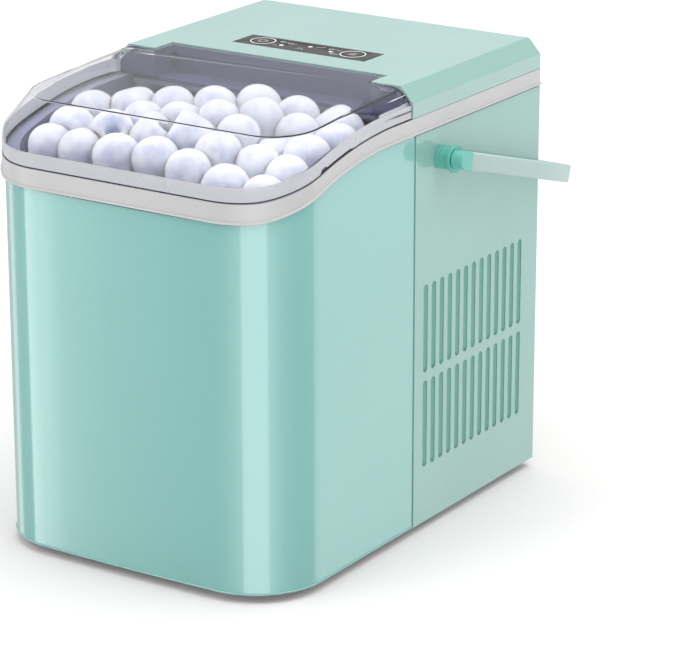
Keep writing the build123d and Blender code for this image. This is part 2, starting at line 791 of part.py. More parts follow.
def handle_bail():
    """One-piece U-shaped carrying handle, folded down behind the machine."""
    outer = Pos(0, (BAIL_END + KNUCKLE_END) / 2) * Rectangle(2 * BAIL_OUT, BAIL_END - KNUCKLE_END)
    outer = fillet(outer.vertices().group_by(Axis.Y)[-1], BAIL_CORNER_R)
    reach = BAIL_END - BAIL_BAR
    inner = Pos(0, reach / 2 - BAIL_END / 2) * Rectangle(2 * BAIL_IN, reach + BAIL_END)
    bail = extrude(outer - inner, amount=BAIL_H / 2, both=True)
    bail = fillet(bail.edges().filter_by(Axis.Z, reverse=True), BAIL_EDGE_R)
    return fold_down(bail)


def bail_knuckle(side):
    """Round-nosed end of an arm, which its pin goes into."""
    x0, x1 = sorted((side * BAIL_IN, side * BAIL_OUT))
    nose_y = BAIL_H / 2 - BAIL_NOSE
    knuckle = rod_x(x0, x1, nose_y, 0, BAIL_H / 2)
    knuckle += block(x0, x1, nose_y, KNUCKLE_END, -BAIL_H / 2, BAIL_H / 2)
    return fold_down(knuckle)


def all_parts():
    """Every piece of the machine by node name."""
    return {
        "base_pan": base_pan(), "feet": feet(), "base_screws": base_screws(),
        "front_shell": front_shell(), "side_panel_right": side_panel(1), "side_panel_left": side_panel(-1),
        "rear_panel": rear_panel(), "rear_screws": rear_screws(), "trim_band": trim_band(),
        "deck_cover": deck_cover(), "inner_frame": inner_frame(),
        "lid": lid(), "lid_hinge_pins": lid_hinge_pins(),
        "control_strip": control_strip(), "button_rings": button_rings(),
        "button_power": button(-1), "button_select": button(1), "indicator_lights": indicator_lights(),
        "control_board": control_board(), "tact_switches": tact_switches(),
        "tub_liner": tub_liner(), "foam_insulation": foam_insulation(),
        "ice_basket": ice_basket(), "basket_rests": basket_rests(),
        "evaporator_plate": evaporator_plate(), "evaporator_fingers": evaporator_fingers(),
        "evaporator_tube": evaporator_tube(), "water_tray": water_tray(), "tray_shaft": tray_shaft(),
        "ice_shovel": ice_shovel(), "tray_motor": tray_motor(),
        "ice_sensors": ice_sensors(), "level_sensor": level_sensor(),
        "water_pump": water_pump(), "pump_hose": pump_hose(), "intake_hose": intake_hose(),
        "drain_hose": drain_hose(), "drain_spout": drain_spout(), "drain_plug": drain_plug(),
        "cable_gland": cable_gland(),
        "compressor": compressor(), "compressor_base": compressor_base(),
        "compressor_grommets": compressor_grommets(),
        "condenser_core": condenser_core(), "condenser_legs": condenser_legs(),
        "fan_frame": fan_frame(), "fan_motor": fan_motor(), "fan_shaft": fan_shaft(), "fan_blade": fan_blade(),
        "discharge_line": discharge_line(), "suction_line": suction_line(),
        "liquid_line": liquid_line(), "filter_drier": filter_drier(),
        "main_board": main_board(), "board_standoffs": board_standoffs(),
        "board_components": board_components(),
        "pivot_bosses": Compound([pivot_boss(1), pivot_boss(-1)]),
        "pivot_pins": Compound([pivot_pin(1), pivot_pin(-1)]),
        "handle_bail": handle_bail(), "bail_knuckles": both_sides(bail_knuckle),
    }


def write_parts(parts):
    """Write one STEP file per node, in the machine's own frame."""
    boxes = [part.bounding_box() for part in parts.values()]
    middle_y = (min(b.min.Y for b in boxes) + max(b.max.Y for b in boxes)) / 2
    print("middle of the depth", round(middle_y, 4))
    os.makedirs("parts", exist_ok=True)
    for name, part in parts.items():
        export_step(Pos(0, -middle_y, -TABLE_Z) * part, f"parts/{name}.step")


write_parts(all_parts())
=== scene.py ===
import json
import math

import bmesh
import bpy
import numpy as np
from mathutils import Matrix, Vector


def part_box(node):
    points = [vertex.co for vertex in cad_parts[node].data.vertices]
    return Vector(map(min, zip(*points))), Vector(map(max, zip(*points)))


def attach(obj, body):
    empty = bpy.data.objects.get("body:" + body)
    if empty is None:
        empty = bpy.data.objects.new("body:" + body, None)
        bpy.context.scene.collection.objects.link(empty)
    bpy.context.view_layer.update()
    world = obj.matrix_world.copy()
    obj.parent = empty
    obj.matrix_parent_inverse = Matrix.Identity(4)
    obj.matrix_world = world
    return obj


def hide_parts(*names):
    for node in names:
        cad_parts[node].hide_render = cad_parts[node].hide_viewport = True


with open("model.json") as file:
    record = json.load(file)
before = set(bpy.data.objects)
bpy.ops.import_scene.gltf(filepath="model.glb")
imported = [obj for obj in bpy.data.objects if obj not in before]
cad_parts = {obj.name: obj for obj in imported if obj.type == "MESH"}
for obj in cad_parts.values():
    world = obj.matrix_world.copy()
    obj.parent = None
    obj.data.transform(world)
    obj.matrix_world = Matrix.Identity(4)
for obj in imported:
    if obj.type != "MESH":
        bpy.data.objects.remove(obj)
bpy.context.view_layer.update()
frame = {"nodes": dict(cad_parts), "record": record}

# ------------------------------------------------------------------ sizes, in metres
# The drawing measures depth from the housing's front face and height from 295 mm under the deck's
# top, so FRONT and BASE turn its places into the frame's y and z.
MM = 0.001
SHELL_LOW, SHELL_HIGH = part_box("front_shell")
TRIM_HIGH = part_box("trim_band")[1]
DECK_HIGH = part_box("deck_cover")[1]
LID_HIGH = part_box("lid")[1]
STRIP_LOW, STRIP_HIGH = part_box("control_strip")
FRONT = SHELL_LOW.y
BASE = DECK_HIGH.z - 295 * MM
HALF_W = SHELL_HIGH.x
SEAM_Y = SHELL_HIGH.y
BODY_BACK = DECK_HIGH.y
CORNER_R = 47 * MM
TRIM_PROUD = TRIM_HIGH.x - HALF_W
TRIM_INSET = 11 * MM
SHELL_SKIN = 1.5 * MM
SHELL_CROWN = 1.0 * MM

# S-shaped edges: level, then a straight rise between two arcs, then level again
CURVE_START = 7.6 * MM
TOP_EDGE = dict(
    front=BASE + 252.5 * MM, back=BASE + 275.5 * MM, crest=89.7 * MM, radii=(55 * MM, 290 * MM))
LOW_EDGE = dict(
    front=BASE + 239.3 * MM, back=BASE + 264.1 * MM, crest=82.8 * MM, radii=(47 * MM, 230 * MM))

# lid: an upright rim, a slope up to the crease, and a top that rises a little rearwards. Its two
# wings are the sides that reach back past the dark wall, as far as WING_BACK behind the front.
LID_GAP = 1.1 * MM
LID_SKIN = 1.2 * MM
RIM_HEIGHT = 10 * MM
CREASE_X = 102 * MM
CREASE_FRONT = 30 * MM
CREASE_R = 28 * MM
CREASE_Z = BASE + 285 * MM
CREASE_SLOPE = 0.066
WING_BACK = 147 * MM
WING_END = 6 * MM
WING_END_SKIN = 3.6 * MM
TAB_X = 80 * MM
TOP_REACH = 9 * MM
FOLD_START = 60 * MM
FOLD_REACH = WING_BACK - 75 * MM
SHOULDER_FOLD = (1.6 * MM, 6 * MM)
CREASE_FOLD = (0.8 * MM, 6.5 * MM)
CREASE_LINE_START = 72 * MM
CREASE_LINE_FOLD = (0.5 * MM, 1.9 * MM)
NOTCH = dict(start=49 * MM, deep_end=53 * MM, end=82 * MM, rise=2.6 * MM, thin=0.9 * MM)
WING_EDGE_R = 0.45 * MM
# Inset and width of the dark strip under the lid's rim, a painted shadow in the gap above the band.
GAP_SHADOW_INSET = 0.2 * MM
GAP_SHADOW_WIDTH = 2.0 * MM

# camera
LENS_MM = 170.0
CAMERA_AZIMUTH = math.radians(33.02)
CAMERA_ELEVATION = math.radians(18.42)
CAMERA_DISTANCE = 2.116
CAMERA_TARGET = Vector((2.1 * MM, FRONT + 235.1 * MM, BASE + 96.2 * MM))


# ------------------------------------------------------------------ S-shaped edges

def edge_height(depth, front, back, crest, radii):
    """Height of an S-shaped edge at a depth behind the front face."""
    slope = (back - front) / (crest - CURVE_START)
    turn = math.atan(slope)
    reach = [r * math.tan(turn / 2) for r in radii]
    if depth <= CURVE_START - reach[0]:
        return front
    first_end = CURVE_START + reach[0] * math.cos(turn)
    if depth < first_end:
        run = depth - (CURVE_START - reach[0])
        return front + radii[0] - math.sqrt(radii[0] ** 2 - run ** 2)
    second_start = crest - reach[1] * math.cos(turn)
    if depth <= second_start:
        return front + slope * (depth - CURVE_START)
    run = crest + reach[1] - depth
    if run <= 0:
        return back
    return back - radii[1] + math.sqrt(radii[1] ** 2 - run ** 2)


def top_edge(y):
    return edge_height(y - FRONT, **TOP_EDGE)


def low_edge(y):
    return edge_height(y - FRONT, **LOW_EDGE)


# ------------------------------------------------------------------ mesh helpers

def new_object(name, mesh, body, slot, *nodes, smooth_angle=35):
    """Puts a mesh in the scene, smooth except at sharp edges, and ties it to the frame."""
    mesh.polygons.foreach_set("use_smooth", [True] * len(mesh.polygons))
    mesh.set_sharp_from_angle(angle=math.radians(smooth_angle))
    piece = bpy.data.objects.new(name, mesh)
    bpy.context.scene.collection.objects.link(piece)
    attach(piece, body)
    if nodes:
        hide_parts(*nodes)
    return piece


def mesh_from(name, verts, faces):
    mesh = bpy.data.meshes.new(name)
    mesh.from_pydata([tuple(v) for v in verts], [], faces)
    mesh.update()
    work = bmesh.new()
    work.from_mesh(mesh)
    bmesh.ops.recalc_face_normals(work, faces=work.faces)
    work.to_mesh(mesh)
    work.free()
    return mesh


def grid_faces(rows, columns, close_rows=False, close_columns=False):
    """Quads of a grid of rows x columns points; either way round can be closed."""
    faces = []
    for i in range(rows if close_rows else rows - 1):
        for j in range(columns if close_columns else columns - 1):
            a = i * columns + j
            b = i * columns + (j + 1) % columns
            c = (i + 1) % rows * columns + (j + 1) % columns
            d = (i + 1) % rows * columns + j
            faces.append((a, b, c, d))
    return faces


def straight(a, b, count):
    """Points from a up to, but not including, b."""
    return [a.lerp(b, i / count) for i in range(count)]


def arc(cx, cy, radius, start, end, count):
    """Points on an arc from start up to, but not including, end, in degrees."""
    angles = [math.radians(start + (end - start) * i / count) for i in range(count)]
    return [Vector((cx + radius * math.cos(a), cy + radius * math.sin(a))) for a in angles]


def wrap_path(half, front, back, radius, side_count=60, arc_count=28, front_count=24):
    """From the right side's back end, round the front, to the left side's back end."""
    right, left = half - radius, radius - half
    points = straight(Vector((half, back)), Vector((half, front + radius)), side_count)
    points += arc(right, front + radius, radius, 0, -90, arc_count)
    points += straight(Vector((right, front)), Vector((left, front)), front_count)
    points += arc(left, front + radius, radius, -90, -180, arc_count)
    points += straight(Vector((-half, front + radius)), Vector((-half, back)), side_count)
    return points + [Vector((-half, back))]


def outward(points, closed):
    """Unit normal of a plan path at each point, on its right-hand side."""
    normals = []
    count = len(points)
    for i in range(count):
        before = points[i - 1] if closed or i else points[0]
        after = points[(i + 1) % count] if closed or i < count - 1 else points[-1]
        along = (after - before).normalized()
        normals.append(Vector((-along.y, along.x)))
    return normals


def rounded_profile(thick, radius, steps=3):
    """Closed cross-section of a wall as (inwards, end, drop): end 0 is its foot and 1 its top."""
    profile = []
    corners = ((0, 0, 180), (0, 1, 90), (1, 1, 0), (1, 0, -90))
    for deep, end, start in corners:
        for k in range(steps + 1):
            angle = math.radians(start - 90 * k / steps)
            inward = (thick - radius if deep else radius) + radius * math.cos(angle)
            rise = radius * math.sin(angle)
            profile.append((inward, end, (rise - radius) if end else (radius + rise)))
    return profile


def wall(name, points, low, high, profile, closed):
    """Mesh of a wall along a plan path between two heights that vary with y."""
    normals = outward(points, closed)
    verts = []
    for point, normal in zip(points, normals):
        for inward, end, rise in profile:
            x, y = point - normal * inward
            base = high(point.y) if end else low(point.y)
            verts.append((x, y, base + rise))
    faces = grid_faces(len(points), len(profile), close_rows=closed, close_columns=True)
    if not closed:
        faces.append(tuple(range(len(profile))))
        faces.append(tuple(len(verts) - len(profile) + i for i in range(len(profile)))[::-1])
    return mesh_from(name, verts, faces)


# ------------------------------------------------------------------ materials

def material(name, colour, roughness, metallic=0.0, coat=0.0, specular=0.5):
    """A principled material and its shader node."""
    mat = bpy.data.materials.new(name)
    mat.use_nodes = True
    shader = mat.node_tree.nodes["Principled BSDF"]
    shader.inputs["Base Color"].default_value = (*colour, 1)
    shader.inputs["Roughness"].default_value = roughness
    shader.inputs["Metallic"].default_value = metallic
    shader.inputs["Coat Weight"].default_value = coat
    shader.inputs["Coat Roughness"].default_value = 0.05
    shader.inputs["Specular IOR Level"].default_value = specular
    return mat, shader


def noise(mat, scale, detail=3.0, stretch=(1, 1, 1)):
    """Object-space noise, in cells per metre, optionally stretched along an axis."""
    nodes, links = mat.node_tree.nodes, mat.node_tree.links
    coords = nodes.new("ShaderNodeTexCoord")
    mapping = nodes.new("ShaderNodeMapping")
    mapping.inputs["Scale"].default_value = stretch
    texture = nodes.new("ShaderNodeTexNoise")
    texture.inputs["Scale"].default_value = scale
    texture.inputs["Detail"].default_value = detail
    links.new(coords.outputs["Object"], mapping.inputs["Vector"])
    links.new(mapping.outputs["Vector"], texture.inputs["Vector"])
    return texture.outputs["Fac"]


def ramp(mat, factor, low, high, start=0.3, end=0.7):
    """Two-colour ramp driven by a factor."""
    node = mat.node_tree.nodes.new("ShaderNodeValToRGB")
    node.color_ramp.elements[0].position = start
    node.color_ramp.elements[1].position = end
    node.color_ramp.elements[0].color = (*low, 1)
    node.color_ramp.elements[1].color = (*high, 1)
    mat.node_tree.links.new(factor, node.inputs["Fac"])
    return node.outputs["Color"]


def bump(mat, shader, factor, strength, distance):
    node = mat.node_tree.nodes.new("ShaderNodeBump")
    node.inputs["Strength"].default_value = strength
    node.inputs["Distance"].default_value = distance
    mat.node_tree.links.new(factor, node.inputs["Height"])
    mat.node_tree.links.new(node.outputs["Normal"], shader.inputs["Normal"])


def vary(mat, shader, colour, amount, scale):
    """Faint uneven colour, as moulded plastic has."""
    low = tuple(c * (1 - amount) for c in colour)
    high = tuple(min(1, c * (1 + amount)) for c in colour)
    mat.node_tree.links.new(ramp(mat, noise(mat, scale), low, high), shader.inputs["Base Color"])


def rough_range(mat, shader, scale, low, high):
    """Roughness that wanders between two values."""
    node = mat.node_tree.nodes.new("ShaderNodeMapRange")
    node.inputs["To Min"].default_value = low
    node.inputs["To Max"].default_value = high
    mat.node_tree.links.new(noise(mat, scale), node.inputs["Value"])
    mat.node_tree.links.new(node.outputs["Result"], shader.inputs["Roughness"])


def srgb(r, g, b):
    """Linear colour of an 8-bit screen colour."""
    return tuple(((c / 255 + 0.055) / 1.055) ** 2.4 if c > 10 else c / 255 / 12.92 for c in (r, g, b))


def moulded(name, colour, roughness, grain=0.0, coat=0.0, wander=0.04):
    """Moulded plastic: faint flow marks in colour and gloss, and a fine surface grain."""
    mat, shader = material(name, colour, roughness, coat=coat)
    vary(mat, shader, colour, 0.025, 14)
    rough_range(mat, shader, 60, max(0.02, roughness - wander), roughness + wander)
    if grain:
        bump(mat, shader, noise(mat, 2600, 2), grain, 0.00005)
    return mat


def glossy_shell():
    """Mint wrap: a hard clear gloss over colour."""
    colour = srgb(130, 186, 180)
    mat, shader = material("mint_gloss", colour, 0.3, coat=1.0, specular=0.25)
    shader.inputs["Coat Roughness"].default_value = 0.025
    vary(mat, shader, colour, 0.015, 9)
    rough_range(mat, shader, 40, 0.26, 0.34)
    return mat


def clear_plastic(name, tint, roughness, clearness):
    """Clear moulded plastic: light passes it, apart from the share that a frosted face holds."""
    mat, shader = material(name, tint, roughness)
    shader.inputs["Transmission Weight"].default_value = clearness
    shader.inputs["IOR"].default_value = 1.2
    rough_range(mat, shader, 30, roughness * 0.7, roughness * 1.3)
    nodes, links = mat.node_tree.nodes, mat.node_tree.links
    through = nodes.new("ShaderNodeBsdfTransparent")
    through.inputs["Color"].default_value = (*tint, 1)
    path = nodes.new("ShaderNodeLightPath")
    mix = nodes.new("ShaderNodeMixShader")
    links.new(path.outputs["Is Shadow Ray"], mix.inputs["Fac"])
    links.new(shader.outputs["BSDF"], mix.inputs[1])
    links.new(through.outputs["BSDF"], mix.inputs[2])
    links.new(mix.outputs["Shader"], nodes["Material Output"].inputs["Surface"])
    return mat


def ice_material():
    """Cloudy ice with a wet surface: greyer in its middle, with a painted sheen that whitens it towards
    its outline.
    """
    mat, shader = material("cloudy_ice", srgb(190, 194, 208), 0.16)
    shader.inputs["Subsurface Weight"].default_value = 1.0
    shader.inputs["Subsurface Radius"].default_value = (0.85, 0.9, 1.0)
    shader.inputs["Subsurface Scale"].default_value = 0.03
    shader.inputs["IOR"].default_value = 1.31
    nodes, links = mat.node_tree.nodes, mat.node_tree.links
    cloud = ramp(mat, noise(mat, 95, 4), srgb(178, 182, 201), srgb(204, 207, 217), 0.36, 0.6)
    # Painted sheen: the base colour turns whiter where the surface turns edge-on.
    painted_sheen_weight = nodes.new("ShaderNodeLayerWeight")
    painted_sheen_weight.inputs["Blend"].default_value = 0.35
    outline = nodes.new("ShaderNodeMix")
    outline.data_type = "RGBA"
    outline.inputs["B"].default_value = (*srgb(234, 235, 241), 1)
    links.new(painted_sheen_weight.outputs["Facing"], outline.inputs["Factor"])
    links.new(cloud, outline.inputs["A"])
    links.new(outline.outputs["Result"], shader.inputs["Base Color"])
    rough_range(mat, shader, 220, 0.1, 0.3)
    bump(mat, shader, noise(mat, 150, 3), 0.2, 0.0006)
    return mat


def metal(name, colour, roughness, stretch=(1, 1, 1), scale=400):
    mat, shader = material(name, colour, roughness, metallic=1.0)
    rough_range(mat, shader, scale, roughness * 0.8, roughness * 1.25)
    bump(mat, shader, noise(mat, scale * 2, 2, stretch), 0.08, 0.0001)
    return mat


MATERIALS = {
    "mint_gloss": glossy_shell(),
    "mint_panel": moulded("mint_panel", srgb(135, 179, 171), 0.34, 0.04, coat=0.6),
    "mint_handle": moulded("mint_handle", srgb(176, 198, 195), 0.4, 0.05),
    "mint_boss": moulded("mint_boss", srgb(100, 184, 170), 0.38, 0.04),
    "trim_grey": moulded("trim_grey", srgb(192, 192, 193), 0.38, 0.05),
    "smoke_plastic": moulded("smoke_plastic", srgb(72, 77, 106), 0.3, 0.02),
    "tub_grey": moulded("tub_grey", srgb(76, 79, 98), 0.45, 0.06),
    "clear_plastic": clear_plastic("clear_plastic", srgb(250, 250, 252), 0.02, 1.0),
    "basket_plastic": moulded("basket_plastic", srgb(214, 217, 226), 0.35, 0.04),
    "panel_dark": moulded("panel_dark", srgb(54, 53, 52), 0.35, 0.03),
    "icon_white": moulded("icon_white", srgb(244, 244, 244), 0.4),
    "button_dark": moulded("button_dark", srgb(42, 41, 41), 0.35, 0.03),
    "pan_grey": moulded("pan_grey", srgb(150, 152, 154), 0.5, 0.06),
    "rubber_black": moulded("rubber_black", srgb(38, 38, 38), 0.7, 0.1),
    "hose_silicone": moulded("hose_silicone", srgb(226, 226, 222), 0.35, 0.03),
    "foam_white": moulded("foam_white", srgb(230, 228, 215), 0.85, 0.3),
    "steel": metal("steel", srgb(190, 190, 192), 0.32, (1, 1, 12)),
    "chilled_metal": metal("chilled_metal", srgb(210, 210, 214), 0.2),
    "copper_tube": metal("copper_tube", srgb(205, 128, 92), 0.3),
    "fin_aluminium": metal("fin_aluminium", srgb(188, 192, 194), 0.38, (1, 30, 1)),
    "compressor_black": moulded("compressor_black", srgb(30, 30, 32), 0.3, 0.05, coat=0.4),
    "motor_black": moulded("motor_black", srgb(44, 44, 46), 0.5, 0.06),
    "board_green": moulded("board_green", srgb(36, 104, 62), 0.35, 0.03),
}
FROSTED_RIM = clear_plastic("frosted_rim", srgb(212, 213, 218), 0.3, 0.3)
DECK_MINT = moulded("mint_deck", srgb(157, 189, 184), 0.36, 0.04, coat=0.3)
# Darker mint for the deck's two chamfers: painted shade.
CHAMFER_PAINTED_SHADE = moulded("mint_chamfer_painted_shade", srgb(141, 180, 172), 0.36, 0.04, coat=0.3)
# Darker mint for the vanes in the side slots: painted shade for the dark inside of the slots.
VANE_PAINTED_SHADE = moulded("mint_vent_painted_shade", srgb(112, 174, 160), 0.45, 0.05)
LEDGE_GREY = moulded("ledge_grey", srgb(140, 143, 163), 0.35, 0.03)


def paint(piece, slot):
    piece.data.materials.clear()
    piece.data.materials.append(MATERIALS[slot])


def polish(node, slot, bevel=0.0):
    """Gives a carried-over CAD node its material, smooth shading and softened edges."""
    piece = frame["nodes"][node]
    paint(piece, slot)
    mesh = piece.data
    mesh.polygons.foreach_set("use_smooth", [True] * len(mesh.polygons))
    mesh.set_sharp_from_angle(angle=math.radians(30))
    weld = piece.modifiers.new("weld", "WELD")
    weld.merge_threshold = 1e-6
    if bevel:
        flat = piece.modifiers.new("flat", "DECIMATE")
        flat.decimate_type = "DISSOLVE"
        flat.angle_limit = math.radians(0.5)
        soft = piece.modifiers.new("soft", "BEVEL")
        soft.width = bevel
        soft.segments = 3
        soft.limit_method = "ANGLE"
        soft.angle_limit = math.radians(38)
        even = piece.modifiers.new("even", "WEIGHTED_NORMAL")
        even.keep_sharp = True
        even.weight = 100


# ------------------------------------------------------------------ housing

def crowned(point):
    """The front bows forward by a millimetre in its middle, as a pressed panel does."""
    flat = HALF_W - CORNER_R
    across = min(1.0, abs(point.x) / flat)
    fade = max(0.0, min(1.0, (FRONT + 2 * CORNER_R - point.y) / CORNER_R))
    return Vector((point.x, point.y + SHELL_CROWN * across ** 2 * fade))


def make_shell():
    path = [crowned(p) for p in wrap_path(HALF_W, FRONT, SEAM_Y, CORNER_R)]
    profile = rounded_profile(SHELL_SKIN, 0.7 * MM)
    mesh = wall("shell_wrap", path, lambda y: SHELL_LOW.z, low_edge, profile, closed=False)
    piece = new_object("shell_wrap", mesh, "housing", "mint_gloss", "front_shell")
    paint(piece, "mint_gloss")


def tone_deck():
    """The deck's own mint, with painted shade on its two chamfers: a darker mint there."""
    mesh = frame["nodes"]["deck_cover"].data
    mesh.materials[0] = DECK_MINT
    mesh.materials.append(CHAMFER_PAINTED_SHADE)
    for face in mesh.polygons:
        # Chamfer faces, sloping sideways and up, get the painted shade.
        face.material_index = int(abs(face.normal.x) > 0.4 and face.normal.z > 0.4)


def tone_ledge(mesh):
    """Darker lavender grey on the ledge of the band that lies inside the lid's rim."""
    mesh.materials.append(LEDGE_GREY)
    for face in mesh.polygons:
        x, y, _ = face.center
        across = max(0.0, abs(x) - (HALF_W - CORNER_R))
        ahead = max(0.0, FRONT + CORNER_R - y)
        inside = math.hypot(across, ahead) < CORNER_R - 2 * MM
        face.material_index = int(inside and y < FRONT + WING_BACK + 10 * MM)


def make_band():
    """Light band: proud of the shell, with soft edges and an inner ledge under the lid."""
    half = HALF_W + TRIM_PROUD
    front = FRONT - TRIM_PROUD
    back = BODY_BACK + TRIM_PROUD
    round_off = 2 * MM
    path = wrap_path(half, front, back - round_off, CORNER_R + TRIM_PROUD, side_count=90)
    path += arc(round_off - half, back - round_off, round_off, 180, 90, 4)[1:]
    path += straight(Vector((round_off - half, back)), Vector((half - round_off, back)), 12)
    path += arc(half - round_off, back - round_off, round_off, 90, 0, 4)
    profile = rounded_profile(TRIM_PROUD + TRIM_INSET, 1.2 * MM)
    mesh = wall("light_band", path, low_edge, top_edge, profile, closed=True)
    piece = new_object("light_band", mesh, "housing", "trim_grey", "trim_band")
    paint(piece, "trim_grey")
    tone_ledge(mesh)


VENT = dict(
    first=165.6 * MM, pitch=9.65 * MM, width=4.9 * MM, count=13, low=42 * MM, high=171 * MM)
VANE_SINK = 0.7 * MM
VANE_DEPTH = 5.6 * MM
VANE_T = 1.2 * MM


def make_vanes():
    """Upright slanting vanes in the side slots, nearest the skin along each slot's rear edge."""
    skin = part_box("side_panel_right")[1].x
    for side, name in ((1, "vent_vanes_right"), (-1, "vent_vanes_left")):
        verts, faces = [], []
        for k in range(VENT["count"]):
            front = FRONT + VENT["first"] + k * VENT["pitch"] - VENT["width"] / 2
            outline = (
                (skin - VANE_SINK, front + VENT["width"]), (skin - VANE_DEPTH, front),
                (skin - VANE_DEPTH - VANE_T, front), (skin - VANE_SINK - VANE_T, front + VENT["width"]))
            first = len(verts)
            for z in (BASE + VENT["low"], BASE + VENT["high"]):
                verts += [(side * x, y, z) for x, y in outline]
            quads = [(0, 1, 2, 3), (4, 5, 6, 7)]
            quads += [(j, (j + 1) % 4, (j + 1) % 4 + 4, j + 4) for j in range(4)]
            faces += [tuple(first + i for i in quad) for quad in quads]
        piece = new_object(name, mesh_from(name, verts, faces), "housing", "mint_panel")
        # The vanes take the darker mint, painted shade for the inside of the slots.
        piece.data.materials.append(VANE_PAINTED_SHADE)


# ------------------------------------------------------------------ marks on the control strip

MARK_T = 0.08 * MM
MARK_LINE = 0.3 * MM
RING_LINE = 0.75 * MM

# Marks between the buttons, in millimetres from the strip's middle
RING_PLACES = ((-22, 5), (-15, 3.5), (22, -5), (15, 4.5))
BAR_PLACES = (
    (-22, -5, 0), (-4, -4.5, 60), (-1.5, -4.5, 120), (5, 4.5, 0), (8, 5.5, 40), (22, 4, 0))


def ring_mark(x, y, radius, start=0, end=360, steps=24, line=MARK_LINE):
    """Plan outline of a thin arc: two rows of points, outer and inner."""
    angles = [math.radians(start + (end - start) * k / steps) for k in range(steps + 1)]
    rows = []
    for r in (radius, radius - line):
        rows.append([(x + r * math.cos(a), y + r * math.sin(a)) for a in angles])
    return rows


def bar_mark(x, y, length, angle=0.0):
    """Plan outline of a short straight line."""
    along = Vector((math.cos(math.radians(angle)), math.sin(math.radians(angle)))) * (length / 2)
    across = Vector((-along.y, along.x)).normalized() * (MARK_LINE / 2)
    start, end = Vector((x, y)) - along, Vector((x, y)) + along
    return [[start + across, end + across], [start - across, end - across]]


def raise_marks(name, marks, top, body, *nodes):
    """One mesh of all marks of a group, standing a hair above a surface."""
    verts, faces = [], []
    for rows in marks:
        count = len(rows[0])
        first = len(verts)
        for z in (top - MARK_T, top + MARK_T):
            for row in rows:
                verts += [(p[0], p[1], z) for p in row]
        for i in range(count - 1):
            a, b, c, d = (first + k * count + i for k in range(4))
            faces += [(a, a + 1, b + 1, b), (c, d, d + 1, c + 1)]
            faces += [(a, c, c + 1, a + 1), (b, b + 1, d + 1, d)]
        for i in (0, count - 1):
            faces.append((first + i, first + count + i, first + 3 * count + i, first + 2 * count + i))
    piece = new_object(name, mesh_from(name, verts, faces), body, "icon_white", *nodes)
    paint(piece, "icon_white")


def make_rings():
    """Thin white rings round the two buttons."""
    low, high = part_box("button_rings")
    y = (low.y + high.y) / 2
    radius = (high.y - low.y) / 2
    place = high.x - radius
    marks = [ring_mark(side * place, y, radius, steps=48, line=RING_LINE) for side in (-1, 1)]
    raise_marks("ring_lines", marks, high.z - MARK_T, "housing", "button_rings")


def make_marks():
    """Generic marks: a power sign and bars on the buttons, and small rings and bars between them."""
    y = (STRIP_LOW.y + STRIP_HIGH.y) / 2
    power_low, power_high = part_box("button_power")
    select_low, select_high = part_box("button_select")
    power_x = (power_low.x + power_high.x) / 2
    select_x = (select_low.x + select_high.x) / 2
    power = [ring_mark(power_x, y, 3.0 * MM, 120, 420), bar_mark(power_x, y + 2.4 * MM, 2.6 * MM, 90)]
    raise_marks("power_mark", power, power_high.z, "power_button")
    select = [bar_mark(select_x, y + dy * MM, 5 * MM) for dy in (-2, 0, 2)]
    raise_marks("select_mark", select, select_high.z, "select_button")
    marks = []
    for x, dy in RING_PLACES:
        marks.append(ring_mark(x * MM, y + dy * MM, 1.6 * MM))
        marks.append(bar_mark((x + 3.4) * MM, y + dy * MM, 2.4 * MM, 35))
    for x, dy, angle in BAR_PLACES:
        marks.append(bar_mark(x * MM, y + dy * MM, 3.6 * MM, angle))
    raise_marks("strip_marks", marks, STRIP_HIGH.z, "housing")


# ------------------------------------------------------------------ lid

def lid_stations():
    """Pairs of plan points, on the rim and on the crease, from the right wing to the left."""
    rim = wrap_path(HALF_W, FRONT, FRONT + WING_BACK, CORNER_R, 40, 26, 20)
    crease = wrap_path(CREASE_X, FRONT + CREASE_FRONT, FRONT + WING_BACK, CREASE_R, 40, 26, 20)
    return list(zip(rim, crease))


def crease_height(y):
    return min(CREASE_Z + CREASE_SLOPE * (y - FRONT), LID_HIGH.z)


def rim_foot(point):
    """Height of the rim's lower edge, raised over the finger notch on the right-hand side."""
    depth = point.y - FRONT
    rise = 0.0
    if point.x > 0 and NOTCH["start"] < depth < NOTCH["end"]:
        rise = NOTCH["rise"] if depth < NOTCH["deep_end"] else NOTCH["thin"]
    return top_edge(point.y) + LID_GAP + rise


def skin_at(point):
    """Wall thickness of the lid, which is heavier along the wings' rear ends."""
    return WING_END_SKIN if point.y > FRONT + WING_BACK - WING_END else LID_SKIN


def bend(a, b, c, steps):
    """Points of a small rounded corner from a to c round b."""
    points = []
    for k in range(steps + 1):
        t = k / steps
        points.append(a * (1 - t) ** 2 + b * (2 * t * (1 - t)) + c * t ** 2)
    return points


def softness(y, sharp, round_end):
    """Length of a fold's round corner: it grows towards the wings' rear ends."""
    along = max(0.0, min(1.0, (y - FRONT - FOLD_START) / FOLD_REACH))
    return sharp + (round_end - sharp) * along


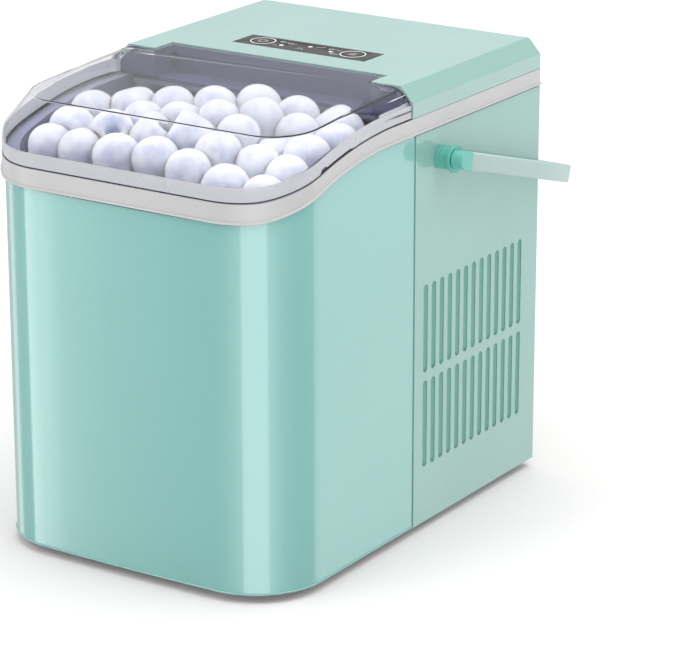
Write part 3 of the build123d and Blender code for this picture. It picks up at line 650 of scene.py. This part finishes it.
def lid_section(rim, crease, inward):
    """Outer or inner line of one section: up the rim, up the slope and onto the top."""
    low_fold = softness(rim.y, *SHOULDER_FOLD)
    high_fold = softness(rim.y, *CREASE_FOLD)
    flat = (crease - rim).normalized()
    foot = rim + flat * inward
    fold = crease + flat * (0.3 * inward)
    base = rim_foot(rim)
    shoulder_z = top_edge(rim.y) + LID_GAP + RIM_HEIGHT - 0.3 * inward
    crease_z = crease_height(fold.y) - inward
    low = Vector((foot.x, foot.y, base))
    shoulder = Vector((foot.x, foot.y, shoulder_z))
    peak = Vector((fold.x, fold.y, crease_z))
    inner = Vector((fold.x + flat.x * TOP_REACH, fold.y + flat.y * TOP_REACH, 0))
    inner.z = crease_height(inner.y) - inward
    rise = (peak - shoulder).normalized()
    line = [low, low.lerp(shoulder, 0.5)]
    line += bend(shoulder - Vector((0, 0, low_fold)), shoulder, shoulder + rise * low_fold, 6)
    line += bend(peak - rise * high_fold, peak, peak + (inner - peak).normalized() * high_fold, 7)
    return line + [inner]


def make_lid():
    """Clear cover with a real wall thickness, built section by section and closed underneath."""
    outer, inner = [], []
    for rim, crease in lid_stations():
        outer.append(lid_section(rim, crease, 0.0))
        inner.append(lid_section(rim, crease, skin_at(rim)))
    stations, length = len(outer), len(outer[0])
    verts = [v for line in outer for v in line] + [v for line in inner for v in line]
    half = stations * length
    faces = grid_faces(stations, length)
    faces += [tuple(half + i for i in f) for f in grid_faces(stations, length)]
    for i in range(stations - 1):
        a, b = i * length, (i + 1) * length
        faces.append((a, b, half + b, half + a))
    for i in (0, stations - 1):
        for j in range(length - 1):
            a = i * length + j
            faces.append((a, a + 1, half + a + 1, half + a))
    tab = [
        (TAB_X, FRONT + WING_BACK), (TAB_X, LID_HIGH.y), (-TAB_X, LID_HIGH.y), (-TAB_X, FRONT + WING_BACK)]
    tops = []
    for drop in (0.0, LID_SKIN):
        ring = [(half if drop else 0) + (i + 1) * length - 1 for i in range(stations)]
        extra = []
        for x, y in reversed(tab):
            extra.append(len(verts))
            verts.append(Vector((x, y, crease_height(y) - drop)))
        faces.append(tuple(ring + extra))
        tops.append([ring[-1]] + extra + [ring[0]])
    for k in range(len(tops[0]) - 1):
        faces.append((tops[0][k], tops[0][k + 1], tops[1][k + 1], tops[1][k]))
    mesh = mesh_from("clear_lid", verts, faces)
    piece = new_object("clear_lid", mesh, "lid", "clear_plastic", "lid", smooth_angle=28)
    paint(piece, "clear_plastic")
    frost_rim(mesh)


def frost_rim(mesh):
    """Gives the upright rim, below the shoulder, its frosted finish."""
    mesh.materials.append(FROSTED_RIM)
    for face in mesh.polygons:
        face.material_index = int(face.center.z < top_edge(face.center.y) + RIM_HEIGHT - 0.5 * MM)


def make_gap_shadow():
    """Dark strip under the lid's rim that paints the shadow in the gap: the thin black line above the
    light band.
    """
    inset = GAP_SHADOW_INSET
    path = wrap_path(HALF_W - inset, FRONT + inset, FRONT + WING_BACK, CORNER_R - inset)
    profile = rounded_profile(GAP_SHADOW_WIDTH, 0.2 * MM, 1)
    mesh = wall("lid_gap_shadow", path, top_edge, lambda y: top_edge(y) + LID_GAP, profile, closed=False)
    piece = new_object("lid_gap_shadow", mesh, "lid", "rubber_black")
    paint(piece, "rubber_black")


def make_crease_painted_edge():
    """Painted dark edge in the fold of the right wing, standing in for the shade a clear fold shows,
    thickest at its rear end.
    """
    start, end = FRONT + CREASE_LINE_START, FRONT + WING_BACK - 1 * MM
    steps, turns = 24, 8
    verts = []
    for i in range(steps + 1):
        along = i / steps
        y = start + (end - start) * along
        radius = (0.15 + 0.7 * min(1.0, along * 1.8)) * MM
        sink = softness(y, *CREASE_LINE_FOLD) + radius
        for k in range(turns):
            angle = 2 * math.pi * k / turns
            x = CREASE_X - sink * 0.4 + radius * math.cos(angle)
            verts.append((x, y, crease_height(y) - sink + radius * math.sin(angle)))
    faces = grid_faces(steps + 1, turns, close_columns=True)
    faces.append(tuple(range(turns))[::-1])
    faces.append(tuple(range(len(verts) - turns, len(verts))))
    piece = new_object("crease_painted_edge", mesh_from("crease_painted_edge", verts, faces), "lid", "smoke_plastic")
    paint(piece, "motor_black")


def tube(name, line, radius, turns=8):
    """Mesh of a round bead that follows a line of points in one plane of constant y."""
    verts = []
    rearward = Vector((0, 1, 0))
    for i, point in enumerate(line):
        along = (line[min(i + 1, len(line) - 1)] - line[max(i - 1, 0)]).normalized()
        across = rearward.cross(along).normalized()
        for k in range(turns):
            angle = 2 * math.pi * k / turns
            verts.append(point + radius * (math.cos(angle) * across + math.sin(angle) * rearward))
    faces = grid_faces(len(line), turns, close_columns=True)
    faces.append(tuple(range(turns))[::-1])
    faces.append(tuple(range(len(verts) - turns, len(verts))))
    return mesh_from(name, verts, faces)


def make_wing_painted_edges():
    """Painted dark edges round the rear ends of the two wings, standing in for the shade that clear wing
    ends show.
    """
    stations = lid_stations()
    for name, station in (("wing_painted_edge_right", stations[0]), ("wing_painted_edge_left", stations[-1])):
        line = lid_section(*station, WING_EDGE_R * 1.3)
        for point in line:
            point.y = FRONT + WING_BACK - WING_EDGE_R * 1.2
        piece = new_object(name, tube(name, line, WING_EDGE_R), "lid", "smoke_plastic")
        paint(piece, "motor_black")


# ------------------------------------------------------------------ ice

ICE_R = 14.6 * MM
ICE_LENGTH = 30 * MM
HEAP_SIDES = (-87 * MM, 98 * MM)
HEAP_DEPTH = (15 * MM, 143.5 * MM)
HEAP_LAYER = 52 * MM
HEAP_COUNT = 84
ICE_SPACING = 27.5 * MM
SETTLE_STEPS = 300
SETTLE_PUSH = 0.22
SETTLE_LIFT = 0.15 * MM

# The heap's surface, in millimetres: its height over BASE at the front, its rise behind that, and
# its fall at the right
HEAP_FRONT, HEAP_RISE, HEAP_FALL = 266, 22, 9
RISE_START, RISE_LENGTH = 5 * MM, 115 * MM
FALL_START, FALL_LENGTH = 25 * MM, 40 * MM

# The heap's rear edge: how fast it runs forward to the left of EDGE_TURN_X, and back with depth
EDGE_TURN_X = 20 * MM
EDGE_SKEW = 0.6
EDGE_SLOPE = 1.2


def ice_profile():
    """Radius and height of a bullet of ice: a blind hole in its foot and a domed top."""
    r, l = ICE_R, ICE_LENGTH
    foot = [
        (0.0, l * 0.5), (r * 0.2, l * 0.48), (r * 0.3, l * 0.38), (r * 0.34, l * 0.16),
        (r * 0.42, l * 0.04), (r * 0.56, 0.0), (r * 0.8, l * 0.01), (r * 0.92, l * 0.06),
        (r * 0.97, l * 0.16), (r, l * 0.32),
    ]
    dome = []
    for k in range(8):
        angle = math.radians(90 * k / 7)
        dome.append((r * math.cos(angle), l - 0.9 * r * (1 - math.sin(angle))))
    return foot + dome


def ice_mesh(rng, turns=24):
    """Vertices and faces of one slightly uneven bullet of ice, centred on its middle."""
    profile = ice_profile()
    wobble = rng.uniform(-0.035, 0.035, 3)
    verts = []
    for k in range(turns):
        angle = 2 * math.pi * k / turns
        swell = 1 + wobble[0] * math.cos(2 * angle) + wobble[1] * math.cos(3 * angle + 1)
        for radius, height in profile:
            reach = radius * swell
            verts.append((reach * math.cos(angle), reach * math.sin(angle), height - ICE_LENGTH / 2))
    return np.array(verts), grid_faces(turns, len(profile), close_rows=True)


def heap_top(points):
    """Height of the heap's surface: low behind the front rim, higher rearwards, lower at the right."""
    rise = np.clip((points[:, 1] - FRONT - RISE_START) / RISE_LENGTH, 0, 1)
    fall = np.clip((points[:, 0] - FALL_START) / FALL_LENGTH, 0, 1)
    return BASE + (HEAP_FRONT + HEAP_RISE * np.sin(rise * math.pi / 2) - HEAP_FALL * fall) * MM


def heap_back(points):
    """Depth of the heap's rear edge: further forward at the left, and sloping down rearwards there."""
    edge = FRONT + HEAP_DEPTH[1] - ICE_R
    below = heap_top(points) - ICE_R - points[:, 2]
    skew = EDGE_SKEW * np.clip(EDGE_TURN_X - points[:, 0], 0, None)
    return np.minimum(edge, edge - skew + EDGE_SLOPE * below)


def heap_centres(rng):
    """Centres of the bullets: scattered in the heap, then pushed apart until they just touch."""
    low = np.array([HEAP_SIDES[0] + ICE_R, FRONT + HEAP_DEPTH[0] + ICE_R, 0])
    high = np.array([HEAP_SIDES[1] - ICE_R, FRONT + HEAP_DEPTH[1] - ICE_R, 0])
    points = low + rng.uniform(0, 1, (HEAP_COUNT, 3)) * (high - low)
    points[:, 2] = heap_top(points) - ICE_R - rng.uniform(0, 1, HEAP_COUNT) * HEAP_LAYER
    for _ in range(SETTLE_STEPS):
        apart = points[:, None] - points[None]
        gap = np.linalg.norm(apart, axis=2) + 1e-9
        push = np.clip(ICE_SPACING - gap, 0, None) / gap
        points += SETTLE_PUSH * (apart * push[:, :, None]).sum(axis=1)
        points[:, 2] += SETTLE_LIFT
        points[:, :2] = np.clip(points[:, :2], low[:2], high[:2])
        points[:, 1] = np.minimum(points[:, 1], heap_back(points))
        roof = heap_top(points) - ICE_R
        points[:, 2] = np.clip(points[:, 2], roof - HEAP_LAYER, roof)
    return points


def ice_turn(rng):
    """How one bullet lies: most stand dome up, some lie down, and a few show their hole."""
    chance = rng.random()
    if chance < 0.7:
        tilt = rng.uniform(0.0, 0.55)
    elif chance < 0.88:
        tilt = rng.uniform(1.1, 1.9)
    else:
        tilt = rng.uniform(2.1, 2.7)
    return Matrix.Rotation(rng.uniform(0, 2 * math.pi), 3, "Z") @ Matrix.Rotation(tilt, 3, "X")


def make_ice():
    rng = np.random.default_rng(11)
    verts, faces = [], []
    for centre in heap_centres(rng):
        shape, quads = ice_mesh(rng)
        spin = np.array(ice_turn(rng))
        first = len(verts)
        verts.extend(shape @ spin.T * rng.uniform(0.94, 1.03) + centre)
        faces.extend(tuple(first + i for i in quad) for quad in quads)
    mesh = mesh_from("ice_heap", verts, faces)
    piece = new_object("ice_heap", mesh, "basket", None, smooth_angle=60)
    piece.data.materials.append(ice_material())


# ------------------------------------------------------------------ studio

def make_camera():
    data = bpy.data.cameras.new("camera")
    data.lens = LENS_MM
    data.sensor_width = 36
    data.clip_end = 20
    camera = bpy.data.objects.new("camera", data)
    flat = math.cos(CAMERA_ELEVATION)
    away = Vector((
        math.sin(CAMERA_AZIMUTH) * flat, -math.cos(CAMERA_AZIMUTH) * flat, math.sin(CAMERA_ELEVATION)))
    camera.location = CAMERA_TARGET + away * CAMERA_DISTANCE
    camera.rotation_euler = (-away).to_track_quat("-Z", "Y").to_euler()
    bpy.context.scene.collection.objects.link(camera)
    bpy.context.scene.camera = camera


def area_light(name, place, target, width, height, power):
    data = bpy.data.lights.new(name, "AREA")
    data.shape = "RECTANGLE"
    data.size = width
    data.size_y = height
    data.energy = power
    lamp = bpy.data.objects.new(name, data)
    lamp.location = place
    lamp.rotation_euler = (Vector(target) - Vector(place)).to_track_quat("-Z", "Y").to_euler()
    lamp.visible_camera = False
    bpy.context.scene.collection.objects.link(lamp)


# Softboxes that upright glossy walls reflect: azimuth in degrees from the front towards +x, and
# brightness. They are below the horizon, and only glossy rays pass the floor, so they light
# little else.
REFLECTIONS = (
    (-180, 0.6), (-125, 0.3), (-110, 0.3), (-104, 1.2), (-94, 1.2), (-88, 0.2), (-62, 0.2),
    (-58, 4.2), (-41.7, 4.2), (-41.2, 1.9), (-38.6, 0.8), (-33, 0.0), (-10, 0.6), (12, 1.7),
    (15, 4.6), (51, 4.6), (54, 2.2), (75, 0.7), (95, 0.1), (129, 0.1), (134, 1.2), (168, 1.2),
    (180, 0.6),
)
REFLECTION_PEAK = 4.6

# Brightness of the sky at the horizon and what it gains towards the top, and of all below it
SKY = 0.52
SKY_TOP = 0.5
BELOW = 0.3

FLOOR_SIZE = 12.0
# Distances from the middle over which the floor's painted shade fades to white.
FLOOR_SHADE_FADE = (0.35, 1.2)

# Area lights: name, place, target, width, height and watts
LAMPS = (
    ("key", (-1.0, -1.7, 1.7), (0, 0, 0.15), 1.4, 1.2, 11),
    ("side", (0.95, -0.1, 1.1), (0.1, 0, 0.2), 0.6, 0.9, 3.2),
    ("top", (0.1, 0.2, 2.0), (0, 0, 0.2), 1.8, 1.8, 16),
)


def math_node(tree, operation, a, b=None):
    """A Math node; an input is a number or another node's output."""
    node = tree.nodes.new("ShaderNodeMath")
    node.operation = operation
    for socket, value in zip(node.inputs, (a, b)):
        if isinstance(value, (int, float)):
            socket.default_value = value
        elif value is not None:
            tree.links.new(value, socket)
    return node.outputs["Value"]


def make_world():
    """White backdrop, soft light from above, and tall softboxes for the gloss to reflect."""
    world = bpy.data.worlds.new("studio")
    world.use_nodes = True
    tree = world.node_tree
    nodes, links = tree.nodes, tree.links
    direction = nodes.new("ShaderNodeTexCoord").outputs["Generated"]
    split = nodes.new("ShaderNodeSeparateXYZ")
    links.new(direction, split.inputs["Vector"])
    x, y, z = split.outputs
    azimuth = math_node(tree, "ARCTAN2", x, math_node(tree, "MULTIPLY", y, -1.0))
    turn = math_node(tree, "ADD", math_node(tree, "DIVIDE", azimuth, 2 * math.pi), 0.5)
    cards = nodes.new("ShaderNodeValToRGB")
    stops = cards.color_ramp.elements
    for k, (angle, level) in enumerate(REFLECTIONS):
        place = angle / 360 + 0.5
        stop = stops[k] if k < 2 else stops.new(place)
        stop.position = place
        stop.color = (*([level / REFLECTION_PEAK] * 3), 1)
    links.new(turn, cards.inputs["Fac"])
    below = math_node(tree, "MULTIPLY", cards.outputs["Color"], REFLECTION_PEAK)
    below = math_node(tree, "ADD", below, BELOW)
    above = math_node(tree, "ADD", math_node(tree, "MULTIPLY", z, SKY_TOP), SKY)
    is_above = math_node(tree, "GREATER_THAN", z, 0.0)
    mix = nodes.new("ShaderNodeMix")
    links.new(is_above, mix.inputs["Factor"])
    links.new(below, mix.inputs["A"])
    links.new(above, mix.inputs["B"])
    path = nodes.new("ShaderNodeLightPath")
    backdrop = nodes.new("ShaderNodeMix")
    links.new(path.outputs["Is Camera Ray"], backdrop.inputs["Factor"])
    links.new(mix.outputs["Result"], backdrop.inputs["A"])
    backdrop.inputs["B"].default_value = 1.0
    links.new(backdrop.outputs["Result"], nodes["Background"].inputs["Strength"])
    nodes["Background"].inputs["Color"].default_value = (1, 1, 1, 1)
    bpy.context.scene.world = world


def floor_material():
    """Pale floor with painted shade round the object: a darker, warmer tone near it, whiter away from the
    object.
    """
    # The near colour is painted shade round the object; the far colour is the white floor.
    near, far = (0.9, 0.87, 0.87), (1, 1, 1)
    mat, shader = material("floor", near, 0.8, specular=0.0)
    nodes, links = mat.node_tree.nodes, mat.node_tree.links
    reach = nodes.new("ShaderNodeVectorMath")
    reach.operation = "LENGTH"
    fade = nodes.new("ShaderNodeMapRange")
    fade.inputs["From Min"].default_value = FLOOR_SHADE_FADE[0]
    fade.inputs["From Max"].default_value = FLOOR_SHADE_FADE[1]
    links.new(nodes.new("ShaderNodeTexCoord").outputs["Object"], reach.inputs[0])
    links.new(reach.outputs["Value"], fade.inputs["Value"])
    links.new(ramp(mat, fade.outputs["Result"], near, far, 0.0, 1.0), shader.inputs["Base Color"])
    return mat


def make_floor():
    mesh = bpy.data.meshes.new("floor")
    corners = [(x * FLOOR_SIZE, y * FLOOR_SIZE, 0) for x, y in ((-1, -1), (1, -1), (1, 1), (-1, 1))]
    mesh.from_pydata(corners, [], [(0, 1, 2, 3)])
    floor = bpy.data.objects.new("floor", mesh)
    bpy.context.scene.collection.objects.link(floor)
    floor.data.materials.append(floor_material())
    floor.visible_glossy = False


def make_studio():
    make_world()
    make_floor()
    for lamp in LAMPS:
        area_light(*lamp)
    bpy.context.scene.view_settings.view_transform = "Standard"


# ------------------------------------------------------------------ build

BEVELS = {
    "deck_cover": 0.9 * MM, "side_panel_right": 0.35 * MM, "side_panel_left": 0.35 * MM,
    "rear_panel": 0.35 * MM, "inner_frame": 0.4 * MM, "bail_knuckles": 0.8 * MM,
    "pivot_bosses": 0.3 * MM,
}

for row in frame["record"]["subparts"]:
    polish(row["node"], row["material_slot"], BEVELS.get(row["node"], 0.0))
tone_deck()
make_shell()
make_band()
make_vanes()
make_rings()
make_marks()
make_lid()
make_gap_shadow()
make_crease_painted_edge()
make_wing_painted_edges()
make_ice()
make_camera()
make_studio()
